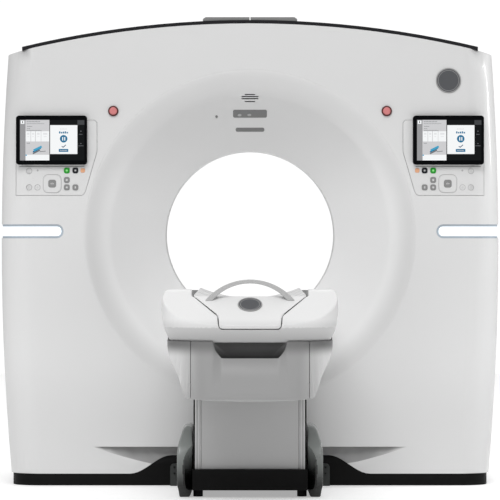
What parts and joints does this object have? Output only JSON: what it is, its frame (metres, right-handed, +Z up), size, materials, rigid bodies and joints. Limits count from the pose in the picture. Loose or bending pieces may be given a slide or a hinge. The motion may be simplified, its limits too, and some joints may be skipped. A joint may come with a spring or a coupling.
{
  "type": "ct scanner",
  "caption": "Medical CT scanner: a domed gantry with a wide funnel bore and rotating measuring unit, with a lifting patient table and sliding cradle.",
  "frame": {"origin": "on the floor beneath the bore centre, in the middle of the gantry's floor anchors", "axes": "+Z up, +Y from the foot end of the table into the bore, +X to the right of someone facing the bore"},
  "size_m": [2.165, 3.3, 2.025],
  "materials": {
    "cover_white": "satin moulded cover",
    "table_white": "smooth moulded cover",
    "table_grey": "fine matt moulded cover",
    "column_grey": "satin paint",
    "stage_metal": "anodised",
    "black_trim": "satin black",
    "top_black": "satin black",
    "vent_grey": "satin grey",
    "fender_grey": "glossy grey",
    "light_lens": "lit lens",
    "display_black": "glossy black",
    "screen_glass": "clear over a lit screen",
    "panel_white": "matt film",
    "key_green": "soft touch",
    "key_grey": "soft touch",
    "key_light": "soft touch",
    "window_grey": "smoked",
    "stop_dark": "dark red",
    "stop_pink": "pale red",
    "frame_steel": "painted steel",
    "cast_alloy": "machined casting",
    "bright_steel": "ground steel",
    "tube_metal": "lead-lined housing",
    "unit_alloy": "anodised housing",
    "brass_track": "slip tracks",
    "belt_rubber": "ribbed belt",
    "liner_film": "film window",
    "cradle_shell": "smooth laminate",
    "handle_grey": "satin grey"
  },
  "bodies": {
    "gantry": {"gantry_base": "frame_steel", "stator_frame": "frame_steel", "bearing_race": "bright_steel", "bore_liner": "liner_film", "front_cover": "cover_white", "rear_cover": "cover_white", "side_cover_left": "cover_white", "side_cover_right": "cover_white", "top_cover": "top_black", "vent_cap": "vent_grey", "base_skirt": "black_trim", "light_bars": "light_lens", "display_left": "display_black", "display_right": "display_black", "display_glass": "screen_glass", "control_panel_left": "panel_white", "control_panel_right": "panel_white", "indicator_windows": "window_grey", "stop_collars": "stop_dark", "drive_motor": "unit_alloy", "drive_belt": "belt_rubber", "front_funnel": "cover_white", "rear_funnel": "cover_white", "table_base": "black_trim", "fender_left": "fender_grey", "fender_right": "fender_grey", "column_outer": "column_grey"},
    "rotor": {"rotor_drum": "cast_alloy", "xray_tube": "tube_metal", "collimator": "bright_steel", "hv_generator": "unit_alloy", "detector_arc": "unit_alloy", "slip_ring": "brass_track", "cooler": "unit_alloy"},
    "pulley": {"motor_pulley": "bright_steel"},
    "lift_stage": {"column_mid": "stage_metal"},
    "table": {"column_inner": "stage_metal", "table_frame": "cast_alloy", "foot_bezel": "table_white", "front_panel": "table_grey", "table_side_left": "table_white", "table_side_right": "table_white", "cradle_drive": "unit_alloy"},
    "cradle": {"cradle": "cradle_shell", "cradle_end_cap": "table_white", "cradle_handle": "handle_grey"},
    "stop_left": {"stop_button_left": "stop_pink"},
    "key_green_left_cap": {"key_green_left": "key_green"},
    "key_dark_left_cap": {"key_dark_left": "key_grey"},
    "key_in_left_cap": {"key_in_left": "key_grey"},
    "key_up_left_cap": {"key_up_left": "key_grey"},
    "key_down_left_cap": {"key_down_left": "key_grey"},
    "key_pad_left_cap": {"key_pad_left": "key_light"},
    "stop_right": {"stop_button_right": "stop_pink"},
    "key_green_right_cap": {"key_green_right": "key_green"},
    "key_dark_right_cap": {"key_dark_right": "key_grey"},
    "key_in_right_cap": {"key_in_right": "key_grey"},
    "key_up_right_cap": {"key_up_right": "key_grey"},
    "key_down_right_cap": {"key_down_right": "key_grey"},
    "key_pad_right_cap": {"key_pad_right": "key_light"}
  },
  "joints": [
    {"name": "rotor_spin", "type": "hinge", "parent": "gantry", "child": "rotor", "pos_m": [0, 0, 1.08], "axis": [0, 1, 0], "continuous": true},
    {"name": "pulley_spin", "type": "hinge", "parent": "gantry", "child": "pulley", "pos_m": [-0.7, 0, 0.25], "axis": [0, 1, 0], "continuous": true},
    {"name": "table_lift", "type": "slide", "parent": "gantry", "child": "table", "axis": [0, 0, 1], "range_m": [-0.28, 0.1]},
    {"name": "stage_lift", "type": "slide", "parent": "gantry", "child": "lift_stage", "axis": [0, 0, 1], "range_m": [-0.14, 0.05]},
    {"name": "cradle_slide", "type": "slide", "parent": "table", "child": "cradle", "axis": [0, 1, 0], "range_m": [0, 1.7]},
    {"name": "stop_press_left", "type": "slide", "parent": "gantry", "child": "stop_left", "axis": [0, 1, 0], "range_m": [0, 0.005], "stiffness_N_per_m": 900, "springref_m": -0.002},
    {"name": "key_green_left_press", "type": "slide", "parent": "gantry", "child": "key_green_left_cap", "axis": [0, 1, 0], "range_m": [0, 0.0015], "stiffness_N_per_m": 500, "springref_m": -0.001},
    {"name": "key_dark_left_press", "type": "slide", "parent": "gantry", "child": "key_dark_left_cap", "axis": [0, 1, 0], "range_m": [0, 0.0015], "stiffness_N_per_m": 500, "springref_m": -0.001},
    {"name": "key_in_left_press", "type": "slide", "parent": "gantry", "child": "key_in_left_cap", "axis": [0, 1, 0], "range_m": [0, 0.0015], "stiffness_N_per_m": 500, "springref_m": -0.001},
    {"name": "key_up_left_press", "type": "slide", "parent": "gantry", "child": "key_up_left_cap", "axis": [0, 1, 0], "range_m": [0, 0.0015], "stiffness_N_per_m": 500, "springref_m": -0.001},
    {"name": "key_down_left_press", "type": "slide", "parent": "gantry", "child": "key_down_left_cap", "axis": [0, 1, 0], "range_m": [0, 0.0015], "stiffness_N_per_m": 500, "springref_m": -0.001},
    {"name": "key_pad_left_press", "type": "slide", "parent": "gantry", "child": "key_pad_left_cap", "axis": [0, 1, 0], "range_m": [0, 0.0015], "stiffness_N_per_m": 500, "springref_m": -0.001},
    {"name": "stop_press_right", "type": "slide", "parent": "gantry", "child": "stop_right", "axis": [0, 1, 0], "range_m": [0, 0.005], "stiffness_N_per_m": 900, "springref_m": -0.002},
    {"name": "key_green_right_press", "type": "slide", "parent": "gantry", "child": "key_green_right_cap", "axis": [0, 1, 0], "range_m": [0, 0.0015], "stiffness_N_per_m": 500, "springref_m": -0.001},
    {"name": "key_dark_right_press", "type": "slide", "parent": "gantry", "child": "key_dark_right_cap", "axis": [0, 1, 0], "range_m": [0, 0.0015], "stiffness_N_per_m": 500, "springref_m": -0.001},
    {"name": "key_in_right_press", "type": "slide", "parent": "gantry", "child": "key_in_right_cap", "axis": [0, 1, 0], "range_m": [0, 0.0015], "stiffness_N_per_m": 500, "springref_m": -0.001},
    {"name": "key_up_right_press", "type": "slide", "parent": "gantry", "child": "key_up_right_cap", "axis": [0, 1, 0], "range_m": [0, 0.0015], "stiffness_N_per_m": 500, "springref_m": -0.001},
    {"name": "key_down_right_press", "type": "slide", "parent": "gantry", "child": "key_down_right_cap", "axis": [0, 1, 0], "range_m": [0, 0.0015], "stiffness_N_per_m": 500, "springref_m": -0.001},
    {"name": "key_pad_right_press", "type": "slide", "parent": "gantry", "child": "key_pad_right_cap", "axis": [0, 1, 0], "range_m": [0, 0.0015], "stiffness_N_per_m": 500, "springref_m": -0.001}
  ],
  "couplings": [
    {"joint": "pulley_spin", "follows": "rotor_spin", "ratio": 13.333},
    {"joint": "stage_lift", "follows": "table_lift", "ratio": 0.5}
  ]
}
